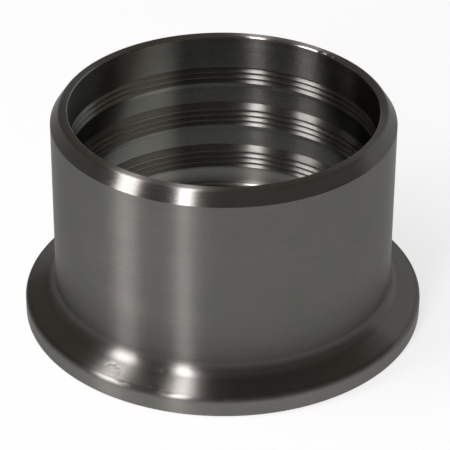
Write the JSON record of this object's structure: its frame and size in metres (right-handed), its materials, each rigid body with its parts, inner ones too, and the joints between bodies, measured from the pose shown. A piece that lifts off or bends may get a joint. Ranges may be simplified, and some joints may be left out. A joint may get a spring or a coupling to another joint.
{
  "type": "sanitary clamp ferrule",
  "caption": "Hygienic clamp ferrule turned in one piece, with a sloped clamp flange, a gasket groove below and a grooved socket that takes a rolled-on tube.",
  "frame": {"origin": "centre of the gasket face, on the ferrule's axis, where it stands on its flange", "axes": "+Z along the axis, from the gasket face up to the mouth of the tube socket; X and Y are any two square directions across it"},
  "size_m": [0.0506, 0.0506, 0.0286],
  "materials": {
    "steel": "turned stainless steel, fine lathe marks around the axis, semi-bright"
  },
  "bodies": {
    "root": {"ferrule": "steel"}
  },
  "joints": []
}
